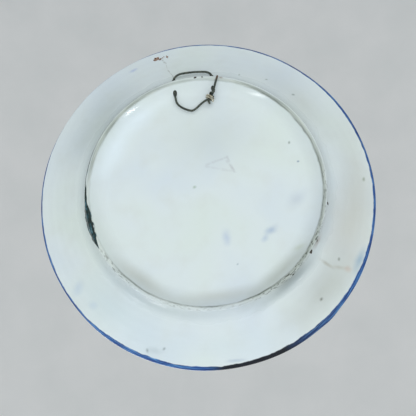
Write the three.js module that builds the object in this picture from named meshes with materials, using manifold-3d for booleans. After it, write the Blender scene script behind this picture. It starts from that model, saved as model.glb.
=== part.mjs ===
// Hand painted wall plate: a thrown and glazed earthenware plate whose foot ring
// is pierced twice, and an iron wire threaded through the two holes to hang it by.
//
// Millimetres, +Z up, as the plate hangs. The painted front faces -Y and the foot
// ring faces the wall, +Y. The origin is where a nail bears on the wire loop.
import * as THREE from 'three';
import { mergeVertices } from 'three/addons/utils/BufferGeometryUtils.js';
import Module from 'manifold-3d';

const wasm = await Module();
wasm.setup();

// ---- driving dimensions -------------------------------------------------------

// plate, turned about its own Y axis, with y = 0 at the face of the foot ring
const rimRadius = 150;
const rimDepth = 31.6;          // from the foot's face to the widest circle of the rim
const lipThickness = 3.8;
const turnSteps = 80;

const footInner = 98.7;         // flat unglazed face of the foot ring
const footOuter = 102.1;
const footHeight = 8;           // above the glazed base inside the ring
const innerCoveRadius = 84.5;   // where the cove inside the ring meets the base
const outerCoveRadius = 108;    // where the outside of the ring meets the wall
const outerCoveDepth = 7.2;
const outerCoveLean = 0.4;      // further drop of the cove's bottom, evenly across it
const outerCoveRoundness = 1.8; // exponent: the higher, the steeper the ring's outside

const baseThickness = 6.2;
const wellRadius = 97;          // flat bottom of the well, on the painted side
const wallRoundness = 1.9;      // exponent: how soon the wall flattens into the well
const wallFootRadius = 120;     // where that flattening begins
const wallThickness = 4.9;
const wallSteepness = 0.72;     // fall per mm outwards where the wall leaves the cove
const wallEasing = 0.0042;      // how fast the wall flattens towards the rim, per mm squared
const lipInset = 1.5;           // from the rim back to where its rounding starts

// the two pierced holes run straight down through the foot ring
const holeOffset = 17;
const holeDiameter = 3.4;
const holeDepth = 5.4;          // of the hole's axis, below the foot's face
const holeSpan = [84, 116];     // heights above the plate's axis that the drill passes

// wire loop and its tie
const wireDiameter = 1.7;
const arcTop = 109.3;           // centre line of the wire outside the ring
const tieDiameter = 1.1;
const wrapRadius = 1.75;        // of the wire's own turns round its other end
const wrapTurns = 2;
const tieRadius = 3.45;         // of the tie round those turns
const tieTurns = -1.5;          // wound the other way

// ---- helpers ------------------------------------------------------------------

// A closed three.js geometry as a solid that can be cut.
function solidOf(geometry) {
  const bare = geometry.clone();
  bare.deleteAttribute('normal');
  bare.deleteAttribute('uv');
  const merged = mergeVertices(bare);
  const index = merged.index.array;
  const triangles = [];
  for (let i = 0; i < index.length; i += 3) {
    const [a, b, c] = [index[i], index[i + 1], index[i + 2]];
    if (a !== b && b !== c && c !== a) triangles.push(a, b, c);
  }
  return new wasm.Manifold(new wasm.Mesh({
    numProp: 3,
    vertProperties: new Float32Array(merged.attributes.position.array),
    triVerts: new Uint32Array(triangles),
  }));
}

function geometryOf(solid) {
  const mesh = solid.getMesh();
  const geometry = new THREE.BufferGeometry();
  geometry.setAttribute('position', new THREE.BufferAttribute(mesh.vertProperties, 3));
  geometry.setIndex(new THREE.BufferAttribute(mesh.triVerts, 1));
  geometry.computeVertexNormals();
  return geometry;
}

// A round rod bent along points, with flat ends.
function bentRod(points, diameter, sides, step) {
  const path = new THREE.CatmullRomCurve3(points, false, 'centripetal');
  const section = new THREE.Shape();
  section.absarc(0, 0, diameter / 2, 0, 2 * Math.PI);
  return new THREE.ExtrudeGeometry(section, {
    extrudePath: path,
    steps: Math.round(path.getLength() / step),
    curveSegments: sides,
  });
}

// Points on a helix about a straight axis from one place to another. The turn starts at
// startAngle, measured from the axis' side direction towards the wall (+Y).
function helixPoints(from, to, radius, turns, startAngle, perTurn) {
  const along = to.clone().sub(from);
  const side = new THREE.Vector3(along.z, 0, -along.x).normalize();
  const out = new THREE.Vector3(0, 1, 0);
  const count = Math.ceil(Math.abs(turns) * perTurn);
  return Array.from({ length: count + 1 }, (_, i) => {
    const angle = startAngle + (2 * Math.PI * turns * i) / count;
    return from.clone()
      .addScaledVector(along, i / count)
      .addScaledVector(side, radius * Math.cos(angle))
      .addScaledVector(out, radius * Math.sin(angle));
  });
}

function ceramicBody() {
  // back, from the axis outwards: base, cove, foot ring, wall and rim
  const back = [[0, -footHeight]];
  for (const part of [0, 0.2, 0.4, 0.6, 0.8, 0.95]) {
    const radius = innerCoveRadius + part * (footInner - innerCoveRadius);
    back.push([radius, -footHeight * (1 - part ** 2)]);
  }
  back.push([footInner, 0], [footOuter, 0]);
  const coveWidth = outerCoveRadius - footOuter;
  for (const part of [0.12, 0.35, 0.65, 1]) {
    const drop = outerCoveDepth * (1 - (1 - part) ** outerCoveRoundness) + outerCoveLean * part;
    back.push([footOuter + part * coveWidth, -drop]);
  }
  const wallTop = outerCoveDepth + outerCoveLean;
  const wallRun = rimRadius - lipInset - outerCoveRadius;
  for (const part of [0.12, 0.25, 0.4, 0.6, 0.8, 1]) {
    const run = part * wallRun;
    const drop = wallSteepness * run - wallEasing * run ** 2;
    back.push([outerCoveRadius + run, -wallTop - drop]);
  }

  // rounded lip
  const lipCentre = [rimRadius - lipThickness / 2, -rimDepth];
  const lip = [];
  for (const degrees of [35, 0, -40, -80, -120]) {
    const angle = THREE.MathUtils.degToRad(degrees);
    lip.push([
      lipCentre[0] + (lipThickness / 2) * Math.cos(angle),
      lipCentre[1] + (lipThickness / 2) * Math.sin(angle),
    ]);
  }

  // painted front, from the lip back to the axis
  const front = [];
  const wellFloor = -footHeight - baseThickness;
  for (const radius of [143, 136, 128, wallFootRadius]) {
    const run = radius - outerCoveRadius;
    const slope = wallSteepness - 2 * wallEasing * run;
    const drop = wallSteepness * run - wallEasing * run ** 2;
    front.push([radius, -wallTop - drop - wallThickness * Math.hypot(1, slope)]);
  }
  const wallFootDepth = front.at(-1)[1];
  const rise = wellFloor - wallFootDepth;
  for (const part of [0.25, 0.5, 0.75, 1]) {
    const radius = wallFootRadius + part * (wellRadius - wallFootRadius);
    front.push([radius, wallFootDepth + rise * (1 - (1 - part) ** wallRoundness)]);
  }
  front.push([0, wellFloor]);

  const outline = [...back, ...lip, ...front].map(([r, y]) => new THREE.Vector2(r, y)).reverse();
  let body = solidOf(new THREE.LatheGeometry(outline, turnSteps));
  for (const x of [-holeOffset, holeOffset]) {
    const drill = new THREE.CylinderGeometry(
      holeDiameter / 2, holeDiameter / 2, holeSpan[1] - holeSpan[0], 16);
    drill.rotateX(Math.PI / 2);
    drill.translate(x, -holeDepth, (holeSpan[0] + holeSpan[1]) / 2);
    body = body.subtract(solidOf(drill));
  }
  return geometryOf(body);
}

// ---- wire ---------------------------------------------------------------------

// the end that the other one is wound round, below the right hole
const strandFoot = new THREE.Vector3(-11.8, -3.7, 79.4);
const strandTop = new THREE.Vector3(-16.2, -3.3, 86.2);

// A turned stretch about that end, between two shares of its length.
function turnsAbout(fromShare, toShare, radius, turns, startAngle, perTurn) {
  const from = strandFoot.clone().lerp(strandTop, fromShare);
  const to = strandFoot.clone().lerp(strandTop, toShare);
  return helixPoints(from, to, radius, turns, startAngle, perTurn);
}

function hangerWire() {
  const at = (x, z, y = -holeDepth) => new THREE.Vector3(x, y, z);
  const towardsWall = Math.PI / 2;
  return bentRod([
    // short cut end below the knot, up the strand and out through the right hole
    at(-12.5, 76.3, -4), strandFoot, strandTop, at(-16.9, 89.8, -5.2),
    at(-holeOffset, 94.5), at(-holeOffset, 104),
    // the loop outside the ring, that a nail takes
    at(-15.4, 106.4), at(-12.6, 107.9), at(-7, 108.8), at(0, arcTop), at(7, 109.3), at(11.6, 108.7),
    at(15.2, 106.8), at(holeOffset, 104),
    // in through the left hole and down inside the ring
    at(holeOffset, 93), at(holeOffset, 86.5), at(16, 81.2), at(12.6, 77.2, -5.6), at(7.4, 74.1, -5.8),
    at(3.6, 73, -5.8), at(0.2, 74.2, -5.4), at(-4.2, 77.2, -4.4), at(-8.6, 79.5, -3.1),
    // round the other end, then off across the foot ring as the long cut end
    ...turnsAbout(0.1, 0.95, wrapRadius, wrapTurns, towardsWall, 10),
    at(-17.6, 89, -0.7), at(-19.6, 93.8, 1.4), at(-22.1, 99.2, 3.3),
  ], wireDiameter, 8, 1.5);
}

function tieWire() {
  const turns = turnsAbout(0.16, 0.5, tieRadius, tieTurns, Math.PI, 12);
  // both cut ends stand off the knot, one low on its right and one high on its left
  const lowEnd = turns[0].clone().add(new THREE.Vector3(-0.5, -1.2, -0.6));
  const highEnd = turns.at(-1).clone().add(new THREE.Vector3(1.1, -0.5, 0.7));
  return bentRod([lowEnd, ...turns, highEnd], tieDiameter, 6, 1.2);
}

// ---- assembly -----------------------------------------------------------------

function piece(name, geometry, color, roughness, metalness) {
  const material = new THREE.MeshStandardMaterial({ color, roughness, metalness });
  const mesh = new THREE.Mesh(geometry, material);
  mesh.name = name;
  return mesh;
}

const plate = new THREE.Group();
plate.add(
  piece('plate_body', ceramicBody(), 0xd3dfe2, 0.18, 0),
  piece('hanger_wire', hangerWire(), 0x333b37, 0.6, 0.8),
  piece('tie_wire', tieWire(), 0xb3a98c, 0.5, 0.7),
);
plate.position.set(0, holeDepth, wireDiameter / 2 - arcTop);

export default plate;
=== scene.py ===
"""A hand painted wall plate and the wire that hangs it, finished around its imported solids."""
import math

import bmesh
import bpy
from mathutils import Matrix, Vector, noise


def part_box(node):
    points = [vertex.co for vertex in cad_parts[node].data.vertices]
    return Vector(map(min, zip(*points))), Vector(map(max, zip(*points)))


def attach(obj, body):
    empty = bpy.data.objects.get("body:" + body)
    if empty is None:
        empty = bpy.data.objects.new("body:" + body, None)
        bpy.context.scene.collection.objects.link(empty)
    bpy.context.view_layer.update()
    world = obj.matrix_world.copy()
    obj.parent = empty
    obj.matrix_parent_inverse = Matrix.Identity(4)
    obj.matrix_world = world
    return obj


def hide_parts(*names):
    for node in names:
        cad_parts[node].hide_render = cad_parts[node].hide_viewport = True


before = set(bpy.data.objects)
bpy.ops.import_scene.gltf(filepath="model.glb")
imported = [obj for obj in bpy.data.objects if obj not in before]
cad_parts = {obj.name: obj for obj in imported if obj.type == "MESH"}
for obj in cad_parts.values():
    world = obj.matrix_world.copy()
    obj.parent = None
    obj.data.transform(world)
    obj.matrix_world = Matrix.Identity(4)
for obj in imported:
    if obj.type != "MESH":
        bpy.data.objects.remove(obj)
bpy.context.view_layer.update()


# ---- Plate ----------------------------------------------------------------------
# One piece of reddish earthenware, thrown on a wheel, then turned so that its foot ring,
# base and wide sloping wall are the same clay. It was dipped in white tin glaze, painted
# on the front, and its edge brushed with cobalt before the one firing.

MM = 0.001
plate_low, plate_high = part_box("plate_body")
plate_axis = Vector(((plate_low.x + plate_high.x) / 2, 0, (plate_low.z + plate_high.z) / 2))
foot_y = plate_high.y
rim_radius = (plate_high.x - plate_low.x) / 2 / MM

# All in mm, from the plate's axis outwards or down from the foot's face. A roundness is an
# exponent: the higher it is, the steeper the start of the curve.
foot_inner, foot_outer = 98.7, 102.1
foot_height = 8.0
inner_cove, outer_cove = 84.5, 108.0
outer_cove_depth, outer_cove_lean, outer_cove_roundness = 7.2, 0.4, 1.8
wall_steepness, wall_easing = 0.72, 0.0042
base_thickness, wall_thickness, lip_thickness = 6.2, 4.9, 3.8
well_radius, wall_foot_radius, wall_foot_roundness = 97.0, 120.0, 1.9
lip_depth = 31.6
lip_start, lip_finish = 72, -114  # degrees that the rounded lip turns through
thinned_from, thinned_by = 138.0, 1.2
foot_corner, outer_shoulder = 0.4, 1.6  # how far the glaze rounds each over
axis_gap = 0.4  # radius of the small flat that closes each side at the axis


def spread(start, end, steps):
    """Evenly spaced values after start, up to and with end."""
    return [start + (end - start) * (i + 1) / steps for i in range(steps)]


def turned_depth(radius):
    """How far the back lies below the foot's face, in mm, as the turning tool left it."""
    if radius < foot_inner:
        share = max(0, (radius - inner_cove) / (foot_inner - inner_cove))
        return foot_height * (1 - share ** 2)
    if radius < foot_outer:
        return 0
    if radius < outer_cove:
        share = (radius - foot_outer) / (outer_cove - foot_outer)
        return (outer_cove_depth * (1 - (1 - share) ** outer_cove_roundness)
                + outer_cove_lean * share)
    run = radius - outer_cove
    return outer_cove_depth + outer_cove_lean + wall_steepness * run - wall_easing * run ** 2


def back_depth(radius):
    """The turned depth with its corners rounded over by glaze, more on the outer shoulder."""
    reach = foot_corner if radius < outer_cove - 3 else outer_shoulder
    samples = [turned_depth(radius + reach * step / 5) for step in range(-5, 6)]
    return sum(samples) / len(samples)


def plate_section():
    """(radius, depth) in mm round the whole section, and the number of points on the back."""
    half = lip_thickness / 2
    lip_middle = rim_radius - half
    back_radii = [axis_gap]
    # the steps are closest where the profile bends most
    for end, steps in [(inner_cove - 2, 24), (foot_inner - 1, 18), (foot_inner + 1, 8),
                       (foot_outer - 0.7, 2), (foot_outer + 1.2, 8), (outer_cove - 2, 6),
                       (outer_cove + 3, 12), (lip_middle + 0.5, 26)]:
        back_radii += spread(back_radii[-1], end, steps)
    points = [(r, back_depth(r)) for r in back_radii]
    lip_turn = [math.radians(degrees) for degrees in spread(lip_start, lip_finish, 16)]
    lip = [(lip_middle + half * math.cos(a), lip_depth - half * math.sin(a)) for a in lip_turn]
    back_count = len(points) + sum(1 for a in lip_turn if a > 0)
    points += lip

    lip_end = lip[-1][0]
    for r in spread(lip_end, wall_foot_radius, 20):
        steepness = wall_steepness - 2 * wall_easing * (r - outer_cove)
        thinning = thinned_by * max(0, (r - thinned_from) / (lip_end - thinned_from))
        through = (wall_thickness - thinning) * math.hypot(1, steepness)
        points.append((r, turned_depth(r) + through))
    wall_foot_depth = points[-1][1]
    floor_depth = foot_height + base_thickness
    for r in spread(wall_foot_radius, well_radius, 16):
        share = (wall_foot_radius - r) / (wall_foot_radius - well_radius)
        eased = 1 - (1 - share) ** wall_foot_roundness
        points.append((r, wall_foot_depth + (floor_depth - wall_foot_depth) * eased))
    points += [(r, floor_depth) for r in spread(well_radius, axis_gap, 30)]
    return points, back_count


def dried(angle, radius, depth):
    """Moves a point as the drying clay did, in mm: the rim warps, its edge wanders and swells
    once, and the front keeps the faint rings of the throwing."""
    free_wall = outer_cove + 4
    out = max(0, (radius - free_wall) / (rim_radius - free_wall)) ** 1.5
    warp = 0.45 * math.sin(2 * angle + 0.6) + 0.2 * math.sin(3 * angle + 2.2)
    wander = 0.22 * math.sin(5 * angle + 1.0) + 0.14 * math.sin(11 * angle + 0.4) - 0.3
    swelling = 0.8 * math.exp(-((angle + 2.48) / 0.06) ** 2)
    throwing = 0.05 * math.sin(radius * 0.8 + angle) if depth > foot_height + 2 else 0
    return radius + out ** 2 * (wander + swelling), depth - out * warp + throwing


def on_plate(x, z, depth):
    """A place given in mm from the plate's axis and below the foot's face."""
    return Vector((plate_axis.x + x * MM, foot_y - depth * MM, plate_axis.z + z * MM))


def finished(mesh, name):
    """The built mesh as an object in the scene, with its faces pointing out."""
    if mesh.calc_volume(signed=True) < 0:
        bmesh.ops.reverse_faces(mesh, faces=mesh.faces)
    data = bpy.data.meshes.new(name)
    mesh.to_mesh(data)
    mesh.free()
    piece = bpy.data.objects.new(name, data)
    bpy.context.scene.collection.objects.link(piece)
    return piece


def closed_tube(rings, name):
    """A closed mesh object through rings of points, with its two ends filled."""
    mesh = bmesh.new()
    rows = [[mesh.verts.new(point) for point in ring] for ring in rings]
    for low, high in zip(rows, rows[1:]):
        for step in range(len(low)):
            follow = (step + 1) % len(low)
            mesh.faces.new((low[step], low[follow], high[follow], high[step])).smooth = True
    mesh.faces.new(reversed(rows[0]))
    mesh.faces.new(rows[-1])
    return finished(mesh, name)


section, back_count = plate_section()
turn_steps = 300
plate_rings = []
for radius, depth in section:
    ring = []
    for step in range(turn_steps):
        angle = math.pi * (2 * step / turn_steps - 1)
        r, d = dried(angle, radius, depth)
        ring.append(on_plate(r * math.sin(angle), r * math.cos(angle), d))
    plate_rings.append(ring)
plate = closed_tube(plate_rings, "plate")

# The potter pierced the damp foot ring twice with a thin stick, straight down and side by
# side. Later knocks took flakes off the glaze near the rim and small bites from the foot.
hole_offset, hole_depth, hole_radius = 17.0, 5.4, 1.7
hole_from, hole_to = 84.0, 116.0
hole_sides = 28


def pierced(x):
    """The stick's round track, a little uneven, through the foot ring."""
    rings = []
    for row, z in enumerate([hole_from] + spread(hole_from, hole_to, 16)):
        ring = []
        for step in range(hole_sides):
            turn = 2 * math.pi * step / hole_sides
            uneven = 1 + 0.04 * math.sin(2 * turn + row * 0.4) + 0.03 * math.sin(row * 1.7)
            radius = hole_radius * uneven
            across, down = radius * math.cos(turn), radius * math.sin(turn)
            ring.append(on_plate(x + across, z, hole_depth + down))
        rings.append(ring)
    return closed_tube(rings, "pierced")


lump_roughness, lump_lift = 0.45, 0.35  # as shares of a lump's size, and of its depth


def knocked(x, z, long, wide, deep, turn, seed):
    """A rough lump along the back's surface, as long and wide in mm as what it bites off.

    It reaches deep mm above and below its middle, which lies a little above the surface.
    """
    mesh = bmesh.new()
    bmesh.ops.create_icosphere(mesh, subdivisions=3, radius=1)
    for v in mesh.verts:
        v.co *= 1 + lump_roughness * noise.noise(v.co * 1.7 + Vector((seed, 0, 0)))
        spun = Matrix.Rotation(turn, 2) @ Vector((v.co.x * long / 2, v.co.z * wide / 2))
        radius = math.hypot(x + spun.x, z + spun.y)
        angle = math.atan2(x + spun.x, z + spun.y)
        r, d = dried(angle, radius, back_depth(radius))
        v.co = on_plate(r * math.sin(angle), r * math.cos(angle), d + (v.co.y - lump_lift) * deep)
    return finished(mesh, "knocked")


holes = [pierced(-hole_offset), pierced(hole_offset)]
bites = [
    knocked(32.2, 138.0, 6.6, 5.0, 1.6, -0.6, 1),
    knocked(28.6, 136.9, 3.6, 2.4, 1.1, -0.8, 2),
    knocked(26.2, 138.2, 2.2, 1.2, 0.8, 0.9, 3),
    knocked(24.9, 139.4, 1.7, 1.0, 0.7, 1.2, 5),
    knocked(22.0, 138.6, 3.6, 2.0, 1.0, 1.3, 4),
    knocked(-2.4, 101.2, 2.8, 1.9, 0.9, 0.1, 6),
    knocked(-8.5, 100.9, 1.7, 1.1, 0.5, 0.6, 7),
    knocked(-99.8, -25.2, 2.6, 1.7, 0.9, 1.3, 8),
    knocked(-79.8, -63.9, 3.4, 2.3, 1.3, 2.2, 9),
    knocked(-86.0, -55.5, 2.2, 1.1, 0.6, 2.0, 10),
    knocked(-62.5, -80.5, 2.6, 1.2, 0.6, 2.5, 11),
]


def linear(colour):
    """An sRGB hex colour as the linear RGBA that a socket takes."""
    parts = [int(colour[i:i + 2], 16) / 255 for i in (1, 3, 5)]
    return (*(c / 12.92 if c <= 0.04045 else ((c + 0.055) / 1.055) ** 2.4 for c in parts), 1)


def add(tree, kind, links, out=None, stops=None, **settings):
    """Adds a node, sets it, feeds its inputs and gives back its named or first output.

    An input takes a socket, a plain value or a hex colour. Stops are a ramp's places and colours.
    """
    node = tree.nodes.new("ShaderNode" + kind)
    for name, value in settings.items():
        setattr(node, name, value)
    if stops:
        ramp = node.color_ramp.elements
        ramp.remove(ramp[1])
        for i, (place, colour) in enumerate(stops):
            stop = ramp.new(place) if i else ramp[0]
            stop.position = place
            stop.color = linear(colour) if isinstance(colour, str) else (colour, colour, colour, 1)
    for key, value in links.items():
        if isinstance(value, bpy.types.NodeSocket):
            tree.links.new(value, node.inputs[key])
        else:
            node.inputs[key].default_value = linear(value) if isinstance(value, str) else value
    return node.outputs[out] if out else next(o for o in node.outputs if o.enabled)


def new_material(name, **values):
    """A material with its shader's own values set, and the tree to paint it in."""
    material = bpy.data.materials.new(name)
    material.use_nodes = True
    tree = material.node_tree
    shader = tree.nodes["Principled BSDF"]
    for key, value in values.items():
        shader.inputs[key.replace("_", " ")].default_value = value
    return material, tree, shader


def place_on_plate(tree):
    """The shaded point in mm from the plate's axis, as the flat vector (x, z, 0)."""
    place = add(tree, "TexCoord", {}, out="Object")
    moved = add(tree, "VectorMath", {0: place, 1: plate_axis}, operation="SUBTRACT")
    x = add(tree, "SeparateXYZ", {0: moved}, out="X")
    z = add(tree, "SeparateXYZ", {0: moved}, out="Z")
    flat = add(tree, "CombineXYZ", {0: x, 1: z})
    return add(tree, "VectorMath", {0: flat, 3: 1 / MM}, operation="SCALE")


def shaken(tree, place, amount, grain):
    """The place moved about by up to amount mm, in bends about grain mm long."""
    cloud = add(tree, "TexNoise", {"Vector": place, "Scale": 1 / grain, "Detail": 2.0}, out="Color")
    centred = add(tree, "VectorMath", {0: cloud, 1: (0.5, 0.5, 0.5)}, operation="SUBTRACT")
    stray = 0.25  # how far the cloud usually strays from its middle value
    offset = add(tree, "VectorMath", {0: centred, 3: amount / stray}, operation="SCALE")
    return add(tree, "VectorMath", {0: place, 1: offset}, operation="ADD")


def bearing(tree, flat):
    """Radians round from the top to +X, of a flat place such as place_on_plate gives."""
    x = add(tree, "SeparateXYZ", {0: flat}, out="X")
    z = add(tree, "SeparateXYZ", {0: flat}, out="Y")
    return add(tree, "Math", {0: x, 1: z}, operation="ARCTAN2")


def turn_from(tree, place, middle):
    """Degrees round the plate from a middle direction, itself in degrees from the top to +X."""
    spun = add(tree, "VectorRotate", {0: place, 3: math.radians(middle)}, rotation_type="Z_AXIS")
    return add(tree, "Math", {0: bearing(tree, spun)}, operation="DEGREES")


def along_ring(tree, place, long, wide):
    """The place stretched round the plate, so that a noise on it makes marks long by wide mm."""
    foot_middle = 100
    radius = add(tree, "VectorMath", {0: place}, operation="LENGTH")
    toward = add(tree, "VectorMath", {0: place}, operation="NORMALIZE")
    toward = add(tree, "VectorMath", {0: toward, 3: foot_middle / long}, operation="SCALE")
    out = add(tree, "Math", {0: radius, 1: 1 / wide}, operation="MULTIPLY")
    out = add(tree, "CombineXYZ", {2: out})
    return add(tree, "VectorMath", {0: toward, 1: out}, operation="ADD")


def oval(tree, place, x, z, long, wide, lean, strength, ragged=0.5):
    """A soft mark of the given size in mm, with a broken edge, strongest in its middle."""
    local = add(tree, "Mapping", {0: place, 1: (x, z, 0), 2: (0, 0, lean),
                                  3: (long / 2, wide / 2, 1)}, vector_type="TEXTURE")
    distance = add(tree, "VectorMath", {0: local}, operation="LENGTH")
    cloud = add(tree, "TexNoise", {"Vector": place, "Scale": 2.5 / (long + wide), "Detail": 4.0})
    frayed = add(tree, "Math", {0: cloud, 1: 2 * ragged, 2: distance}, operation="MULTIPLY_ADD")
    return add(tree, "MapRange", {0: frayed, 1: ragged - 0.2, 2: ragged + 1.15, 3: strength,
                                  4: 0.0}, interpolation_type="SMOOTHSTEP")


def scratch(tree, place, start, end, wide, strength):
    """A fine line in mm from start to end, fading at its edges."""
    middle = (Vector(start) + Vector(end)) / 2
    run = Vector(end) - Vector(start)
    local = add(tree, "Mapping", {0: place, 1: (*middle, 0), 2: (0, 0, math.atan2(run.y, run.x)),
                                  3: (1, 1, 1)}, vector_type="TEXTURE")
    beyond = add(tree, "VectorMath", {0: local}, operation="ABSOLUTE")
    past = add(tree, "VectorMath", {0: beyond, 1: (run.length / 2, 0, 0)}, operation="SUBTRACT")
    clipped = add(tree, "VectorMath", {0: past, 1: (0, 0, 0)}, operation="MAXIMUM")
    distance = add(tree, "VectorMath", {0: clipped}, operation="LENGTH")
    return add(tree, "MapRange", {0: distance, 1: wide * 0.3, 2: wide, 3: strength, 4: 0.0})


def band(tree, radius, low, high, soft, strength=1.0):
    """A ring from radius low to high in mm, with soft edges."""
    middle = (low + high) / 2
    away = add(tree, "Math", {0: radius, 1: middle}, operation="SUBTRACT")
    away = add(tree, "Math", {0: away}, operation="ABSOLUTE")
    half = (high - low) / 2
    return add(tree, "MapRange", {0: away, 1: half - soft, 2: half + soft, 3: strength, 4: 0.0},
               interpolation_type="SMOOTHSTEP")


def glazed_back():
    """Tin glazed earthenware, dipped: opaque milk white with a blue cast and a wet gloss.

    It is handled and hung against walls, so grime sits on the bare foot and in its low places.
    Painted shade darkens the coves, the foot's face and part of the wall, and painted light
    brightens the cove inside the foot on one side.
    Its pinholes are really about 0.3 mm apart, and are drawn four times as coarse to show.
    """
    material, tree, shader = new_material("tin glazed earthenware", Roughness=0.14, IOR=1.5)
    place = place_on_plate(tree)
    radius = add(tree, "VectorMath", {0: place}, operation="LENGTH")
    loose = shaken(tree, place, 0.35, 9)
    loose_radius = add(tree, "VectorMath", {0: loose}, operation="LENGTH")
    angle = turn_from(tree, place, 180)
    # once round: 0 at the top, 0.25 at +X, 0.5 at the bottom, 0.75 at -X, and 1 at the top again
    turn = add(tree, "MapRange", {0: angle, 1: -180.0, 2: 180.0})

    # glaze thicker and bluer in drifts, thinner and greener between them
    drifts = add(tree, "TexNoise", {"Vector": place, "Scale": 1 / 75, "Detail": 2.0})
    colour = add(tree, "ValToRGB", {0: drifts},
                 stops=[(0.3, "#d4e0e8"), (0.5, "#dae5e7"), (0.7, "#d9e5e1")])
    clouds = add(tree, "TexNoise", {"Vector": place, "Scale": 1 / 22, "Detail": 4.0})
    thin = add(tree, "MapRange", {0: clouds, 1: 0.5, 2: 0.75, 3: 0.0, 4: 0.3})
    colour = add(tree, "Mix", {0: thin, 6: colour, 7: "#cfd6d2"}, data_type="RGBA")

    # marks laid over each other in this order, each with its place and size in mm, its lean in
    # radians, its strength and its colour
    marks = [
        # a greasy film on one side of the wall, and in the coves dirt and painted shade
        (-118, -45, 140, 64, -1.2, 0.6, "#bfbfb4"), (-132, 10, 150, 40, 1.57, 0.35, "#bfc2b7"),
        (-96, 66, 120, 50, 0.97, 0.3, "#b9c0bb"), (-84, -98, 104, 54, -0.76, 0.7, "#a9afa7"),
        # painted shade: the wall darker towards +X above, and the cove just outside the foot darker
        # towards -X below
        (88, 72, 110, 60, -0.88, 0.45, "#a3b1ae"), (-60, -84.5, 78, 14, -0.62, 0.75, "#8a938f"),
        # dirt and painted shade low in the cove inside the foot, then a grey film on the base
        (0, -90, 90, 16, 0.0, 0.3, "#b3b3a0"), (60, -70, 76, 18, 0.72, 0.5, "#b2b6a6"),
        (-56, -75, 96, 17, -0.64, 0.55, "#a3a99c"), (-10, 46, 130, 70, 0.1, 0.4, "#bfcac6"),
        # painted light: the cove inside the foot lighter towards +X above, where it faces the lamps
        (74, 48, 80, 26, -1.0, 0.8, "#e4f2fb"), (48, 74, 60, 22, -0.58, 0.7, "#e4f2fb"),
        # glaze that ran thick and pale low on the wall towards +X and below
        (84, -94, 150, 66, 0.73, 0.55, "#c2d5df"), (4, -130, 120, 34, 0.0, 0.4, "#cbdbe2"),
        # touches of fingers and of a brush with cobalt on them
        (-50.9, -41, 15, 9, -0.45, 0.8, "#a3b8d0"), (-44.8, -47, 10, 7, -0.6, 0.6, "#a9bdd4"),
        (-12.7, -42, 10, 18, 0.0, 0.5, "#a6b9d8"), (-76, -17, 30, 16, -0.6, 0.4, "#b3bfcd"),
        (54.5, 129, 11, 5, -0.3, 0.65, "#9fb2dd"), (119, -68, 20, 12, -0.9, 0.35, "#a9bfda"),
        (107, -84, 12, 9, 0.4, 0.3, "#a9bfda"), (-124, -72, 30, 11, 2.1, 0.8, "#8fadc2"),
        (-8, -143, 22, 4, 0.03, 0.4, "#8fa3c0"), (58, -128, 20, 9, 0.2, 0.5, "#b0bfc4"),
        # brown rubs beside the edge and on the foot
        (-93.6, -73.7, 18, 4, 0.62, 0.6, "#a3a294"), (-104, -77, 20, 4.5, 0.2, 0.5, "#abab9c"),
        (-112, -78.5, 11, 7, 0.3, 0.5, "#c0ab9c"), (-122, -90, 16, 5, 2.3, 0.5, "#9a9f87"),
        (-86.3, -56.4, 16, 4, 2.16, 0.6, "#9a8478"), (-70.7, -58.4, 16, 7, -0.3, 0.4, "#b5c0a9"),
    ]
    for x, z, long, wide, lean, strength, mark_colour in marks:
        mark = oval(tree, place, x, z, long, wide, lean, strength)
        colour = add(tree, "Mix", {0: mark, 6: colour, 7: mark_colour}, data_type="RGBA")

    # painted shade in the cove outside the foot, grey-blue, stronger at some turns round the plate
    # than at others
    cove_shade_round = add(tree, "ValToRGB", {0: turn},
               stops=[(0.0, 0.25), (0.12, 0.5), (0.3, 0.45), (0.36, 0.7), (0.45, 0.6), (0.52, 0.25),
                      (0.58, 0.7), (0.61, 0.8), (0.64, 0.45), (0.7, 0.5), (0.82, 0.4), (1.0, 0.25)])
    painted_cove_shade = band(tree, loose_radius, 103.4, 109.5, 3.0, 0.42)
    painted_cove_shade = add(tree, "Math", {0: painted_cove_shade, 1: cove_shade_round}, operation="MULTIPLY")
    colour = add(tree, "Mix", {0: painted_cove_shade, 6: colour, 7: "#93a5ac"}, data_type="RGBA")

    # dust specks fired into the glaze
    specks = [
        (-76.7, 33.7, 3.8, "#73807a"), (-81.8, 15.8, 3.4, "#6480a0"), (-85.6, -101.5, 5, "#54564a"),
        (-104.9, -70.3, 4.4, "#757c72"), (-87.9, 80.6, 4.6, "#76837f"), (-66, 98, 3.6, "#8f9c95"),
        (-139.4, -2.2, 5.5, "#8f9c8a"), (64.2, -126.8, 5, "#869499"), (49.7, -127, 4.4, "#869499"),
        (-42, 104, 3.4, "#93a39a"), (-24.7, 98.4, 5, "#94847c"), (-119, -95, 4, "#73765f"),
        (9, 4, 5, "#9fb4a4"), (-19.4, -66, 3, "#9fb2ba"), (96, -22, 4, "#a9b7bb"),
    ]
    for x, z, size, mark_colour in specks:
        lean = x  # any lean does, so long as no two are alike
        mark = oval(tree, place, x, z, size, size * 0.7, lean, 0.85, ragged=0.3)
        colour = add(tree, "Mix", {0: mark, 6: colour, 7: mark_colour}, data_type="RGBA")

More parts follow.
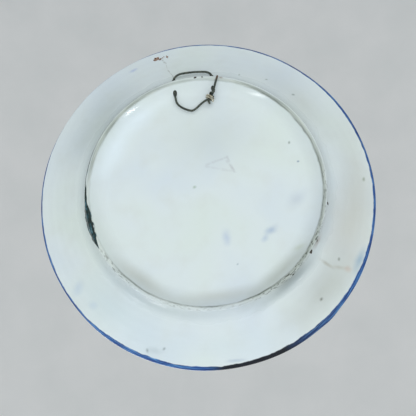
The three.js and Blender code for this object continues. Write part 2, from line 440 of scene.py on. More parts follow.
    # a pencilled triangle on the base, and a hairline crack down from the chipped edge
    faded = add(tree, "TexNoise", {"Vector": place, "Scale": 1 / 4, "Detail": 3.0})
    faded = add(tree, "MapRange", {0: faded, 1: 0.38, 2: 0.6, 3: 0.15, 4: 1.0})
    pencilled = (shaken(tree, place, 0.35, 6), 0.18, "#93909a")
    cracked = (shaken(tree, place, 0.8, 5), 0.42, "#767467")
    lines = [
        (pencilled, (-3.1, 22.8), (-22.2, 27.4), 1.5),
        (pencilled, (-22.2, 27.4), (-25.6, 13.8), 1.5),
        (pencilled, (-25.6, 13.8), (-2.0, 21.6), 1.5),
        (pencilled, (-21, 24), (-27.5, 13.2), 1.5),
        (cracked, (27, 136), (23.6, 130), 1.2),
        (cracked, (23.6, 130), (22, 121), 0.6),
        (cracked, (22, 121), (16.6, 107), 0.7),
    ]
    for (crooked, strength, mark_colour), start, end, wide in lines:
        mark = scratch(tree, crooked, start, end, wide, strength)
        mark = add(tree, "Math", {0: mark, 1: faded}, operation="MULTIPLY")
        colour = add(tree, "Mix", {0: mark, 6: colour, 7: mark_colour}, data_type="RGBA")

    # glaze worn off the foot's face and grimy there, most towards -X; high towards +X the grey is
    # partly painted shade
    streaked = add(tree, "TexNoise", {"Vector": along_ring(tree, place, 26, 2.2), "Scale": 1.0,
                                      "Detail": 3.0})
    specked = add(tree, "TexNoise", {"Vector": along_ring(tree, place, 3.2, 1.0), "Scale": 1.0,
                                     "Detail": 3.0})
    bare = add(tree, "ValToRGB", {0: streaked},
               stops=[(0.36, "#87918a"), (0.5, "#a2aca4"), (0.64, "#bcc4bb")])
    grime_and_shade = add(tree, "ValToRGB", {0: turn},
                 stops=[(0.0, 0.45), (0.05, 0.65), (0.1, 0.9), (0.2, 0.7), (0.24, 0.35),
                        (0.3, 0.2), (0.35, 0.4), (0.42, 0.15), (0.5, 0.35), (0.57, 0.5),
                        (0.63, 0.8), (0.72, 0.75), (0.8, 0.75), (0.92, 0.8), (0.96, 0.55),
                        (1.0, 0.4)])
    face = band(tree, radius, foot_inner - 0.2, foot_outer - 0.9, 0.8)
    face = add(tree, "Math", {0: face, 1: grime_and_shade}, operation="MULTIPLY")
    colour = add(tree, "Mix", {0: face, 6: colour, 7: bare}, data_type="RGBA")
    # its corners are worn to a thin dark line, inside all round, outside only in two stretches
    inner_line = add(tree, "ValToRGB", {0: turn},
                     stops=[(0.0, 0.25), (0.1, 0.3), (0.2, 0.5), (0.24, 0.3), (0.34, 0.3),
                            (0.38, 0.7), (0.5, 0.8), (0.62, 0.9), (0.75, 0.85), (0.88, 0.8),
                            (1.0, 0.25)])
    outer_line = add(tree, "ValToRGB", {0: turn},
                     stops=[(0.0, 0.3), (0.08, 0.8), (0.2, 0.6), (0.26, 0.1), (0.55, 0.1),
                            (0.62, 0.5), (0.7, 0.4), (0.76, 0.15), (0.95, 0.1), (1.0, 0.3)])
    unbroken = add(tree, "MapRange", {0: streaked, 1: 0.35, 2: 0.62, 3: 1.0, 4: 0.35})
    for low, high, share in [(98.0, 99.3, inner_line), (101.6, 102.7, outer_line)]:
        line = band(tree, loose_radius, low, high, 0.6)
        line = add(tree, "Math", {0: line, 1: share}, operation="MULTIPLY")
        line = add(tree, "Math", {0: line, 1: unbroken}, operation="MULTIPLY")
        colour = add(tree, "Mix", {0: line, 6: colour, 7: "#636c62"}, data_type="RGBA")
    # below it is scuffed, most towards -X, with short black flecks in the pits of the clay
    scuffed = add(tree, "ValToRGB", {0: turn},
                  stops=[(0.31, 0.0), (0.33, 0.6), (0.36, 0.7), (0.4, 0.0), (0.44, 0.3),
                         (0.54, 0.2), (0.57, 1.0), (0.66, 1.0), (0.7, 0.35), (0.74, 0.6),
                         (0.77, 0.0)])
    flecks = add(tree, "MapRange", {0: specked, 1: 0.53, 2: 0.63, 3: 0.0, 4: 0.85})
    flecks = add(tree, "Math", {0: flecks, 1: scuffed}, operation="MULTIPLY")
    on_face = band(tree, radius, foot_inner - 0.4, foot_outer - 0.2, 0.5)
    flecks = add(tree, "Math", {0: flecks, 1: on_face}, operation="MULTIPLY")
    colour = add(tree, "Mix", {0: flecks, 6: colour, 7: "#454a43"}, data_type="RGBA")

    # a daub of green-black glaze across the ring, drawn out to a thin line above it
    daub_middle, daub_radius, daub_reach = 97, 101.5, 6.4
    daub_turn = turn_from(tree, place, daub_middle)
    share = add(tree, "MapRange", {0: daub_turn, 1: -16.5, 2: 17.5})
    width = add(tree, "ValToRGB", {0: share},
                stops=[(0.0, 0.0), (0.08, 0.14), (0.3, 0.22), (0.4, 0.45), (0.62, 0.55),
                       (0.8, 0.42), (0.93, 0.12), (1.0, 0.0)])
    frayed = add(tree, "TexNoise", {"Vector": along_ring(tree, place, 5, 1.6), "Scale": 1.0,
                                    "Detail": 4.0})
    off_ring = add(tree, "Math", {0: radius, 1: daub_radius}, operation="SUBTRACT")
    off_ring = add(tree, "Math", {0: off_ring}, operation="ABSOLUTE")
    reach = add(tree, "Math", {0: width, 1: daub_reach}, operation="MULTIPLY")
    uneven = add(tree, "MapRange", {0: frayed, 3: 0.45, 4: 1.5})
    reach = add(tree, "Math", {0: reach, 1: uneven}, operation="MULTIPLY")
    inside = add(tree, "Math", {0: reach, 1: off_ring}, operation="SUBTRACT")
    daub = add(tree, "MapRange", {0: inside, 1: -0.1, 2: 0.35})
    gloss_streak = add(tree, "ValToRGB", {0: frayed},
                       stops=[(0.36, "#0b1a16"), (0.52, "#14302f"), (0.64, "#2f5560"),
                              (0.7, "#5b7f88")])
    line_middle = 73
    line_turn = turn_from(tree, place, line_middle)
    line_part = band(tree, line_turn, -9, 9, 2, 0.9)
    line = band(tree, loose_radius, 101.7, 102.7, 0.35)
    line = add(tree, "Math", {0: line, 1: line_part}, operation="MULTIPLY")
    dark = add(tree, "Math", {0: daub, 1: line}, operation="MAXIMUM")
    colour = add(tree, "Mix", {0: dark, 6: colour, 7: gloss_streak}, data_type="RGBA")

    # cobalt brushed round the edge: thick and streaky below, almost gone on one side above
    streak = add(tree, "TexNoise", {"Vector": along_ring(tree, place, 9, 0.7), "Scale": 1.0,
                                    "Detail": 3.0})
    cobalt = add(tree, "ValToRGB", {0: streak},
                 stops=[(0.34, "#0e2f6c"), (0.5, "#1e4c90"), (0.66, "#528ac2")])
    # it is so thick for a short way below that it fired black
    burnt = add(tree, "ValToRGB", {0: turn},
                stops=[(0.48, 0.0), (0.497, 1.0), (0.555, 1.0), (0.58, 0.5), (0.61, 0.25),
                       (0.64, 0.05)])
    cobalt = add(tree, "Mix", {0: burnt, 6: cobalt, 7: "#020918"}, data_type="RGBA")
    edge_width = add(tree, "ValToRGB", {0: turn},
                     stops=[(0.0, 0.34), (0.055, 0.17), (0.15, 0.15), (0.2, 0.24), (0.25, 0.4),
                            (0.28, 0.46), (0.36, 0.5), (0.389, 0.7), (0.417, 0.78), (0.5, 0.8),
                            (0.55, 0.96), (0.58, 0.94), (0.62, 0.8), (0.667, 0.72), (0.75, 0.6),
                            (0.833, 0.55), (0.944, 0.44), (1.0, 0.34)])
    wobble = add(tree, "TexNoise", {"Vector": place, "Scale": 1 / 9, "Detail": 3.0})
    widest = add(tree, "MapRange", {0: wobble, 3: 3.0, 4: 6.0})
    wide = add(tree, "Math", {0: edge_width, 1: widest}, operation="MULTIPLY")
    edge_shrinkage = 0.3
    from_edge = add(tree, "Math", {0: rim_radius - edge_shrinkage, 1: radius},
                    operation="SUBTRACT")
    inside = add(tree, "Math", {0: wide, 1: from_edge}, operation="SUBTRACT")
    brushed = add(tree, "MapRange", {0: inside, 1: -0.15, 2: 0.45})
    colour = add(tree, "Mix", {0: brushed, 6: colour, 7: cobalt}, data_type="RGBA")
    tree.links.new(colour, shader.inputs["Base Color"])

    # bare clay is dry, the wall is dulled by dust and handling, and the base keeps its gloss
    smears = add(tree, "MapRange", {0: clouds, 1: 0.4, 2: 0.75, 3: 0.11, 4: 0.24})
    dulled = add(tree, "MapRange", {0: radius, 1: 106.0, 2: 116.0, 3: 0.0, 4: 0.24})
    smears = add(tree, "Math", {0: smears, 1: dulled}, operation="ADD")
    dry = add(tree, "Mix", {0: face, 2: smears, 3: 0.7})
    tree.links.new(dry, shader.inputs["Roughness"])
    swell = add(tree, "TexNoise", {"Vector": place, "Scale": 1 / 14, "Detail": 2.0})
    pin = add(tree, "TexNoise", {"Vector": place, "Scale": 1 / 1.2, "Detail": 2.0})
    height = add(tree, "Math", {0: pin, 1: 0.05, 2: swell}, operation="MULTIPLY_ADD")
    rough = add(tree, "Math", {0: streaked, 1: face}, operation="MULTIPLY")
    height = add(tree, "Math", {0: rough, 1: 0.4, 2: height}, operation="MULTIPLY_ADD")
    bump = add(tree, "Bump", {0: 0.5, 1: 0.25 * MM, "Height": height})
    tree.links.new(bump, shader.inputs["Normal"])
    return material


def broken_clay():
    """Fired red earthenware, broken open: dry and grainy near the rim, but darkened nearly to
    black towards the axis, on the foot and inside the holes.

    Its grains are really about 0.3 mm, and are drawn over a millimetre wide to show.
    """
    material, tree, shader = new_material("broken red earthenware", Roughness=0.88)
    place = place_on_plate(tree)
    grain = add(tree, "TexNoise", {"Vector": place, "Scale": 1 / 1.4, "Detail": 5.0,
                                   "Roughness": 0.65})
    colour = add(tree, "ValToRGB", {0: grain},
                 stops=[(0.34, "#4e4038"), (0.46, "#8d7466"), (0.58, "#b29a8c"), (0.72, "#cfc0b4")])
    radius = add(tree, "VectorMath", {0: place}, operation="LENGTH")
    # the clay darkens nearly to black from 118 mm in to 104 mm from the axis
    darkened_inward = add(tree, "MapRange", {0: radius, 1: 104.0, 2: 118.0, 3: 0.92, 4: 0.0})
    colour = add(tree, "Mix", {0: darkened_inward, 6: colour, 7: "#3b3d38"}, data_type="RGBA")
    tree.links.new(colour, shader.inputs["Base Color"])
    bump = add(tree, "Bump", {0: 0.8, 1: 0.4 * MM, "Height": grain})
    tree.links.new(bump, shader.inputs["Normal"])
    return material


def folded(tree, place, count, shift=0.0):
    """The place in the nearest of count equal sectors, as (across, outward) in mm."""
    angle = add(tree, "Math", {0: bearing(tree, place), 1: math.radians(shift)}, operation="ADD")
    half = math.pi / count
    local = add(tree, "Math", {0: angle, 1: half, 2: -half}, operation="WRAP")
    radius = add(tree, "VectorMath", {0: place}, operation="LENGTH")
    sine = add(tree, "Math", {0: local}, operation="SINE")
    cosine = add(tree, "Math", {0: local}, operation="COSINE")
    across = add(tree, "Math", {0: sine, 1: radius}, operation="MULTIPLY")
    outward = add(tree, "Math", {0: cosine, 1: radius}, operation="MULTIPLY")
    return add(tree, "CombineXYZ", {0: across, 1: outward})


def leaf(tree, sector, foot, tip, wide, aside=0.0, lean=0.0):
    """How far in mm a point lies inside a pointed leaf, below zero outside it."""
    half = (tip - foot) / 2
    local = add(tree, "Mapping", {0: sector, 1: (aside, foot + half, 0), 2: (0, 0, lean),
                                  3: (1, half, 1)}, vector_type="TEXTURE")
    across = add(tree, "SeparateXYZ", {0: local}, out="X")
    across = add(tree, "Math", {0: across}, operation="ABSOLUTE")
    along = add(tree, "SeparateXYZ", {0: local}, out="Y")
    taper = add(tree, "Math", {0: along, 1: along}, operation="MULTIPLY")
    taper = add(tree, "Math", {0: taper, 1: -wide / 2, 2: wide / 2}, operation="MULTIPLY_ADD")
    return add(tree, "Math", {0: taper, 1: across}, operation="SUBTRACT")


def blossom(tree, sector, aside, outward, size, petals):
    """How far in mm a point lies inside a round flower with scalloped petals."""
    local = add(tree, "VectorMath", {0: sector, 1: (aside, outward, 0)}, operation="SUBTRACT")
    turned = add(tree, "Math", {0: bearing(tree, local), 1: petals}, operation="MULTIPLY")
    scallop = add(tree, "Math", {0: turned}, operation="COSINE")
    edge = add(tree, "Math", {0: scallop, 1: 0.14 * size, 2: 0.86 * size}, operation="MULTIPLY_ADD")
    distance = add(tree, "VectorMath", {0: local}, operation="LENGTH")
    return add(tree, "Math", {0: edge, 1: distance}, operation="SUBTRACT")


def painted_front():
    """Metal oxides brushed on the raw white glaze: cobalt, copper green and ochre under gloss.

    The brush leaves every line a little thick and thin, and each wash pools at its edges.
    """
    material, tree, shader = new_material("painted tin glaze", Roughness=0.11, IOR=1.5)
    place = place_on_plate(tree)
    by_hand = shaken(tree, shaken(tree, place, 0.5, 16), 0.12, 3)
    radius = add(tree, "VectorMath", {0: by_hand}, operation="LENGTH")
    brush = add(tree, "TexNoise", {"Vector": place, "Scale": 1 / 5, "Detail": 4.0,
                                   "Roughness": 0.6})
    drifts = add(tree, "TexNoise", {"Vector": place, "Scale": 1 / 60, "Detail": 3.0})
    white = add(tree, "ValToRGB", {0: drifts}, stops=[(0.35, "#dfe6e4"), (0.65, "#e9e9e0")])
    blue_line = add(tree, "ValToRGB", {0: brush},
                    stops=[(0.34, "#122a66"), (0.5, "#1e4090"), (0.66, "#3c66b4")])
    blue_wash = add(tree, "ValToRGB", {0: brush},
                    stops=[(0.32, "#4c7ac0"), (0.5, "#7ba2d6"), (0.68, "#a9c3e2")])
    green_wash = add(tree, "ValToRGB", {0: brush},
                     stops=[(0.32, "#1f7468"), (0.5, "#3f9a86"), (0.7, "#7fbfa9")])
    ochre = add(tree, "ValToRGB", {0: brush},
                stops=[(0.32, "#a8671f"), (0.5, "#cf8f35"), (0.7, "#e2b467")])
    colour = white

    eights = folded(tree, by_hand, 8)
    between_eights = folded(tree, by_hand, 8, 22.5)
    twelves = folded(tree, by_hand, 12)
    between_twelves = folded(tree, by_hand, 12, 15)
    beads = folded(tree, by_hand, 36)
    middle_sector = add(tree, "CombineXYZ", {0: radius, 1: 0.0})

    # each shape: how far inside it, its filling, and how wide its outline is
    shapes = [
        (leaf(tree, between_eights, 18, 44, 9), green_wash, 0.9),
        (leaf(tree, eights, 8, 43, 17), blue_wash, 1.3),
        (leaf(tree, eights, 13, 34, 6), blue_line, 0.2),
        (blossom(tree, middle_sector, 0, 0, 8.5, 0), ochre, 1.3),
        (blossom(tree, middle_sector, 0, 0, 3.0, 0), blue_line, 0.2),
        (leaf(tree, beads, 47.8, 52.4, 3.4), ochre, 0.5),
        (leaf(tree, twelves, 54, 91, 31), white, 1.4),
        (leaf(tree, twelves, 58, 86, 20), blue_wash, 1.1),
        (leaf(tree, twelves, 62, 80, 8), blue_line, 0.2),
        (leaf(tree, between_twelves, 74, 92, 13), green_wash, 0.9),
        (blossom(tree, between_twelves, 0, 66.5, 3.0, 5), ochre, 0.6),
        (blossom(tree, between_twelves, 0, 59, 1.3, 0), blue_line, 0.2),
    ]
    # a vine on the wall bows out and in eight times, with a flower in each bow
    shapes += [
        (blossom(tree, eights, 0, 109.5, 8.4, 7), blue_wash, 1.2),
        (blossom(tree, eights, 0, 109.5, 3.4, 0), ochre, 0.8),
        (blossom(tree, between_eights, 0, 129.5, 7.8, 6), ochre, 1.1),
        (blossom(tree, between_eights, 0, 129.5, 3.0, 0), blue_line, 0.2),
    ]
    for side in (-1, 1):
        shapes += [
            (leaf(tree, eights, 123, 138, 7, side * 9, side * -0.75), green_wash, 0.9),
            (leaf(tree, eights, 104, 121, 7, side * 18.5, side * -0.5), green_wash, 0.9),
            (leaf(tree, eights, 121, 139, 8, side * 27, side * 0.55), blue_wash, 0.9),
            (leaf(tree, between_eights, 101, 113, 6, side * 9.5, side * 0.9), blue_wash, 0.9),
            (blossom(tree, eights, side * 4.5, 135.5, 1.2, 0), blue_line, 0.2),
            (blossom(tree, between_eights, side * 15.5, 118.5, 1.1, 0), blue_line, 0.2),
        ]
    for inside, filling, outline in shapes:
        filled = add(tree, "MapRange", {0: inside, 1: -0.1, 2: 0.3})
        colour = add(tree, "Mix", {0: filled, 6: colour, 7: filling}, data_type="RGBA")
        drawn = band(tree, inside, -outline / 2, outline / 2, 0.22)
        colour = add(tree, "Mix", {0: drawn, 6: colour, 7: blue_line}, data_type="RGBA")

    bows = add(tree, "Math", {0: bearing(tree, by_hand), 1: 8.0}, operation="MULTIPLY")
    bow = add(tree, "Math", {0: bows}, operation="COSINE")
    from_vine = add(tree, "Math", {0: bow, 1: -6.0, 2: radius}, operation="MULTIPLY_ADD")
    rings = [(from_vine, 118.6, 1.5), (radius, 46.3, 1.5), (radius, 53.6, 1.2), (radius, 92.6, 1.8),
             (radius, 96.4, 0.8), (radius, 140.2, 0.9)]
    for measured, middle, wide in rings:
        ring = band(tree, measured, middle - wide / 2, middle + wide / 2, 0.25)
        colour = add(tree, "Mix", {0: ring, 6: colour, 7: blue_line}, data_type="RGBA")
    edge = add(tree, "MapRange", {0: radius, 1: 142.6, 2: 143.1})
    colour = add(tree, "Mix", {0: edge, 6: colour, 7: blue_line}, data_type="RGBA")
    tree.links.new(colour, shader.inputs["Base Color"])

    wiped = add(tree, "MapRange", {0: drifts, 1: 0.35, 2: 0.7, 3: 0.08, 4: 0.2})
    tree.links.new(wiped, shader.inputs["Roughness"])
    swell = add(tree, "TexNoise", {"Vector": place, "Scale": 1 / 12, "Detail": 2.0})
    height = add(tree, "Math", {0: brush, 1: 0.12, 2: swell}, operation="MULTIPLY_ADD")
    bump = add(tree, "Bump", {0: 0.5, 1: 0.25 * MM, "Height": height})
    tree.links.new(bump, shader.inputs["Normal"])
    return material


for material in (glazed_back(), painted_front(), broken_clay()):
    plate.data.materials.append(material)
# The faces come row by row from the middle of the back, and end with the two that close the
# plate at its axis, the back's and then the front's.
rows_on_back = (back_count - 1) * turn_steps
for number, face in enumerate(plate.data.polygons[:-2]):
    face.material_index = int(number >= rows_on_back)
plate.data.polygons[-1].material_index = 1

# Each hole and bite is cut from the finished form, and what it opens is left bare clay.
for cut in holes + bites:
    cut.data.materials.append(plate.data.materials[2])
    cutting = plate.modifiers.new(cut.name, "BOOLEAN")
    cutting.operation = "DIFFERENCE"
    cutting.object = cut
    cutting.material_mode = "TRANSFER"
bpy.context.view_layer.update()
evaluated = plate.evaluated_get(bpy.context.evaluated_depsgraph_get())
cut_mesh = bpy.data.meshes.new_from_object(evaluated)
plate.modifiers.clear()
plate.data = cut_mesh
for cut in holes + bites:
    bpy.data.objects.remove(cut)
crease = math.radians(38)  # a sharper edge than this is a broken one, and stays sharp
shaped = bmesh.new()
shaped.from_mesh(plate.data)
for edge in shaped.edges:
    edge.smooth = len(edge.link_faces) == 2 and edge.calc_face_angle(0) < crease
for face in shaped.faces:
    face.smooth = True
shaped.to_mesh(plate.data)
shaped.free()

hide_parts("plate_body")
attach(plate, "plate")


# ---- Hanging wire -------------------------------------------------------------------
# Soft iron wire, a little under 2 mm with its dark skin of oxide. It comes up through one
# hole, over the outside of the foot ring and down the other, and its end is wound by hand
# round the first strand and bent up over the ring.

wire_radius = 0.93
wrap_radius, wrap_turns = 1.75, 2
dent_depth, nipped_thickness = 0.1, 0.45  # as shares of a wire's own thickness


def hand_bent(points, per_mm):
    """Evenly shared points on a smooth curve that passes through all the given ones."""
    ends = [2 * points[0] - points[1], *points, 2 * points[-1] - points[-2]]
    curve = []
    for a, b, c, d in zip(ends, ends[1:], ends[2:], ends[3:]):
        near, mid, far = ((q - p).length ** 0.5 for p, q in ((a, b), (b, c), (c, d)))
        leave = ((b - a) / near - (c - a) / (near + mid) + (c - b) / mid) * mid
        arrive = ((c - b) / mid - (d - b) / (mid + far) + (d - c) / far) * mid
        steps = max(2, round((c - b).length * per_mm))
        for step in range(steps):
            t = step / steps
            cubic = (2 * t ** 3 - 3 * t ** 2 + 1) * b + (t ** 3 - 2 * t ** 2 + t) * leave
            curve.append(cubic + (3 * t ** 2 - 2 * t ** 3) * c + (t ** 3 - t ** 2) * arrive)
    return curve + [points[-1]]


def drawn_wire(name, points, radius, sides, per_mm, nipped, seed):
    """Wire along points in mm, with tool dents, and its ends nipped thin over nipped mm."""
    curve = hand_bent(points, per_mm)
    travelled = [0]
    for a, b in zip(curve, curve[1:]):
        travelled.append(travelled[-1] + (b - a).length)
    rings = []
    across = None
    for i, middle in enumerate(curve):
        along = (curve[min(i + 1, len(curve) - 1)] - curve[max(i - 1, 0)]).normalized()
        across = along.orthogonal() if across is None else across - across.dot(along) * along
        across.normalize()
        over = along.cross(across)
        to_end = min(travelled[i], travelled[-1] - travelled[i])
        thin = nipped_thickness + (1 - nipped_thickness) * min(1, to_end / nipped) ** 0.5
        ring = []
        for side in range(sides):
            turn = 2 * math.pi * side / sides
            spoke = across * math.cos(turn) + over * math.sin(turn) * thin ** 0.4
            dent = noise.noise((middle + spoke) * 0.9 + Vector((seed, 0, 0))) * dent_depth
            point = middle + spoke * radius * (1 + dent) * thin
            ring.append(on_plate(point.x, point.z, -point.y))
        rings.append(ring)
    return closed_tube(rings, name)


def wound(start, end, radius, turns, first, per_turn):
    """A helix about the line from start to end, beginning first radians round it."""
    along = end - start
    side = Vector((along.z, 0, -along.x)).normalized()
    count = math.ceil(abs(turns) * per_turn)
    helix = []
    for i in range(count + 1):
        turn = first + 2 * math.pi * turns * i / count
        helix.append(start + along * (i / count)
                     + side * radius * math.cos(turn) + Vector((0, radius * math.sin(turn), 0)))
    return helix


strand_foot = Vector((-11.8, -3.7, 79.4))
strand_top = Vector((-16.2, -3.3, 86.2))
in_hole = -hole_depth
below_knot = [Vector((-12.5, -4, 76.3))]
over_ring = [(-16.9, -5.2, 89.8), (-17, in_hole, 94.5), (-17, in_hole, 104),
             (-15.4, in_hole, 106.4), (-12.6, in_hole, 107.9), (-7, in_hole, 108.8),
             (0, in_hole, 109.3), (7, in_hole, 109.3), (11.6, in_hole, 108.7),
             (15.2, in_hole, 106.8), (17, in_hole, 104), (17, in_hole, 93), (17, in_hole, 86.5)]
under_ring = [(16, in_hole, 81.2), (12.6, -5.6, 77.2), (7.4, -5.8, 74.1), (3.6, -5.8, 73),
              (0.2, in_hole, 74.2), (-4.2, -4.4, 77.2), (-8.6, -3.1, 79.5)]
bent_up = [(-17.6, -0.7, 89), (-19.6, 1.4, 93.8), (-22.1, 3.3, 99.2)]
wrap_from, wrap_to = strand_foot.lerp(strand_top, 0.1), strand_foot.lerp(strand_top, 0.95)
wrap = wound(wrap_from, wrap_to, wrap_radius, wrap_turns, first=math.pi / 2, per_turn=10)
route = below_knot + [strand_foot, strand_top] + [Vector(p) for p in over_ring + under_ring]
route += wrap + [Vector(p) for p in bent_up]
hanger = drawn_wire("hanger", route, wire_radius, sides=16, per_mm=1.8, nipped=1.2, seed=3)


def rusted_iron():
    """Drawn iron wire gone dark: a black oxide skin with a dull sheen, rusty at its raised end.

    The pits in the skin are really a few tenths of a millimetre, and are drawn larger to show.
    """
    material, tree, shader = new_material("oxidised iron wire", Metallic=0.35, Roughness=0.5)
    place = add(tree, "VectorMath", {0: add(tree, "TexCoord", {}, out="Object"), 3: 1 / MM},
                operation="SCALE")
    skin = add(tree, "TexNoise", {"Vector": place, "Scale": 1 / 3, "Detail": 5.0, "Roughness": 0.6})
    colour = add(tree, "ValToRGB", {0: skin},
                 stops=[(0.35, "#2b3430"), (0.5, "#434b45"), (0.63, "#5f655a"), (0.75, "#827c69")])
    height = add(tree, "SeparateXYZ", {0: place}, out="Z")
    rust_starts = plate_axis.z / MM + 94.5
    near_tip = add(tree, "MapRange", {0: height, 1: rust_starts, 2: rust_starts + 4})
    sideways = add(tree, "SeparateXYZ", {0: place}, out="X")
    beside_hole = -18.6  # the raised end lies past this, and the strand in the hole doesn't
    on_end = add(tree, "Math", {0: sideways, 1: beside_hole}, operation="LESS_THAN")
    rusty = add(tree, "Math", {0: near_tip, 1: on_end}, operation="MULTIPLY")
    spots = add(tree, "TexNoise", {"Vector": place, "Scale": 1 / 1.3, "Detail": 4.0})
    freckled = add(tree, "MapRange", {0: spots, 1: 0.6, 2: 0.7, 3: 0.0, 4: 0.5})
    rust = add(tree, "Math", {0: rusty, 1: freckled}, operation="MAXIMUM")
    colour = add(tree, "Mix", {0: rust, 6: colour, 7: "#6a5243"}, data_type="RGBA")
    tree.links.new(colour, shader.inputs["Base Color"])
    rough = add(tree, "MapRange", {0: spots, 1: 0.35, 2: 0.7, 3: 0.36, 4: 0.72})
    tree.links.new(rough, shader.inputs["Roughness"])
    bump = add(tree, "Bump", {0: 0.6, 1: 0.08 * MM, "Height": spots})
    tree.links.new(bump, shader.inputs["Normal"])
    return material


hanger.data.materials.append(rusted_iron())
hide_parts("hanger_wire")
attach(hanger, "hanger")


# ---- Tie wire -----------------------------------------------------------------------
# A scrap of thinner tinned wire, wound one and a half turns round the knot, the other way
# from it, and nipped off at both ends. It keeps the wound end from springing open.

tie_wire_radius = 0.58
tie_radius, tie_turns = 3.45, -1.5
tie_from, tie_to = strand_foot.lerp(strand_top, 0.16), strand_foot.lerp(strand_top, 0.5)
tie_route = wound(tie_from, tie_to, tie_radius, tie_turns, first=math.pi, per_turn=12)
low_end = tie_route[0] + Vector((-0.5, -1.2, -0.6))
high_end = tie_route[-1] + Vector((1.1, -0.5, 0.7))
tie_points = [low_end, *tie_route, high_end]
tie = drawn_wire("tie", tie_points, tie_wire_radius, sides=12, per_mm=3.0, nipped=0.7, seed=11)


def dull_tin():
    """Tinned wire dulled by air: a pale yellow-grey metal, softly shining, dirty in places."""
    material, tree, shader = new_material("dull tinned wire", Metallic=0.6, Roughness=0.35)
    place = add(tree, "VectorMath", {0: add(tree, "TexCoord", {}, out="Object"), 3: 1 / MM},
                operation="SCALE")
    dirt = add(tree, "TexNoise", {"Vector": place, "Scale": 1 / 1.8, "Detail": 4.0})
    colour = add(tree, "ValToRGB", {0: dirt},
                 stops=[(0.34, "#7a7460"), (0.46, "#c2baa2"), (0.6, "#ece7d6")])
    tree.links.new(colour, shader.inputs["Base Color"])
    rough = add(tree, "MapRange", {0: dirt, 1: 0.35, 2: 0.65, 3: 0.6, 4: 0.3})
    tree.links.new(rough, shader.inputs["Roughness"])
    bump = add(tree, "Bump", {0: 0.4, 1: 0.05 * MM, "Height": dirt})
    tree.links.new(bump, shader.inputs["Normal"])
    return material


tie.data.materials.append(dull_tin())
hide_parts("tie_wire")
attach(tie, "hanger")


# ---- Studio -------------------------------------------------------------------------
# A pale floor that curves up into a pale wall all round, one large soft lamp low on the
# side of the plate's back, a weaker one above it, two small ones for the glints in the
# foot's cove, and one before the painted front.

floor_z = -1.3
floor_flat, floor_curve, floor_height = 2.2, 1.4, 4.6
floor_sides, floor_middle = 64, 0.01
floor_line = [(floor_middle, 0)] + [(r, 0) for r in spread(floor_middle, floor_flat, 6)]
floor_line += [(floor_flat + floor_curve * math.sin(a), floor_curve * (1 - math.cos(a)))
               for a in spread(0, math.pi / 2, 12)]
floor_line += [(floor_flat + floor_curve, h) for h in spread(floor_curve, floor_height, 4)]
studio = bmesh.new()
floor_rings = []
for distance, height in floor_line:
    floor_rings.append([studio.verts.new((distance * math.cos(2 * math.pi * step / floor_sides),
                                          distance * math.sin(2 * math.pi * step / floor_sides),
                                          floor_z + height)) for step in range(floor_sides)])
for low, high in zip(floor_rings, floor_rings[1:]):
    for step in range(floor_sides):
        follow = (step + 1) % floor_sides
        studio.faces.new((low[step], low[follow], high[follow], high[step])).smooth = True
studio.faces.new(reversed(floor_rings[0]))
floor_data = bpy.data.meshes.new("floor")
studio.to_mesh(floor_data)
studio.free()
floor = bpy.data.objects.new("floor", floor_data)
bpy.context.scene.collection.objects.link(floor)


def matt_backdrop():
    """Seamless matt paper, a soft pale grey with the faintest mottle."""
    material, tree, shader = new_material("matt backdrop paper", Roughness=0.95)
    place = add(tree, "TexCoord", {}, out="Object")
    mottle = add(tree, "TexNoise", {"Vector": place, "Scale": 3.0, "Detail": 3.0})
    colour = add(tree, "ValToRGB", {0: mottle}, stops=[(0.3, "#cfd1d1"), (0.7, "#d5d6d6")])
    tree.links.new(colour, shader.inputs["Base Color"])
    tree.links.new(colour, shader.inputs["Emission Color"])
    shader.inputs["Emission Strength"].default_value = 0.28
    return material


floor.data.materials.append(matt_backdrop())

plate_middle = Vector((0, (plate_low.y + plate_high.y) / 2, plate_axis.z))


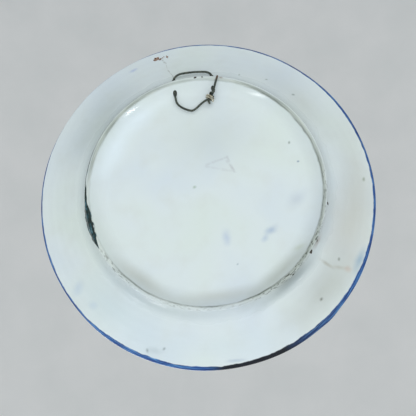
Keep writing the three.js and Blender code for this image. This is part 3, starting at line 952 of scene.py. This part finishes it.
def lamp(name, place, wide, high, power, colour):
    """A soft rectangular lamp at a place in metres, aimed at the middle of the plate."""
    data = bpy.data.lights.new(name, "AREA")
    data.shape = "RECTANGLE"
    data.size, data.size_y = wide, high
    data.energy = power
    data.color = linear(colour)[:3]
    light = bpy.data.objects.new(name, data)
    light.location = place
    light.rotation_euler = (plate_middle - light.location).to_track_quat("-Z", "Y").to_euler()
    bpy.context.scene.collection.objects.link(light)
    return light


lamp("low_lamp", Vector((0.05, 1.25, -0.6)), 1.3, 0.9, 7.35, "#ffffff").visible_glossy = False
lamp("high_lamp", Vector((-0.5, 1.1, 0.75)), 1.0, 0.8, 3.2, "#fffdf8").visible_glossy = False
lamp("left_lamp", Vector((0.76, 0.60, -0.86)), 0.36, 0.07, 0.8, "#ffffff")
lamp("right_lamp", Vector((-0.74, 0.56, -0.82)), 0.24, 0.06, 0.6, "#ffffff")
lamp("front_lamp", Vector((0.45, -0.85, -0.7)), 0.8, 0.8, 8.5, "#ffffff")

world = bpy.data.worlds.new("studio")
world.use_nodes = True
world.node_tree.nodes["Background"].inputs[0].default_value = linear("#dfe6ea")
world.node_tree.nodes["Background"].inputs[1].default_value = 0.55
bpy.context.scene.world = world
bpy.context.scene.view_settings.view_transform = "Standard"

# The camera stands before the plate's back and a little below it, tipped to one side. It aims
# a little below the middle of the rim.
rim_middle = on_plate(0, 0, lip_depth)
camera_distance, aim_below = 0.502, 0.0101
camera_below, camera_aside = math.radians(14.3), math.radians(0.8)
camera_roll = math.radians(6.6)
camera_data = bpy.data.cameras.new("camera")
camera_data.lens, camera_data.sensor_width = 48.5, 36
camera = bpy.data.objects.new("camera", camera_data)
away = Vector((-math.sin(camera_aside) * math.cos(camera_below),
               math.cos(camera_aside) * math.cos(camera_below), -math.sin(camera_below)))
camera.location = rim_middle + away * camera_distance
aim = rim_middle - Vector((0, 0, aim_below))
facing = (aim - camera.location).normalized()
level = facing.cross(Vector((0, 0, 1))).normalized()
upright = level.cross(facing)
right = level * math.cos(camera_roll) - upright * math.sin(camera_roll)
top = right.cross(facing)
turned = Matrix((right, top, -facing)).transposed().to_4x4()
camera.matrix_world = Matrix.Translation(camera.location) @ turned
bpy.context.scene.collection.objects.link(camera)
bpy.context.scene.camera = camera
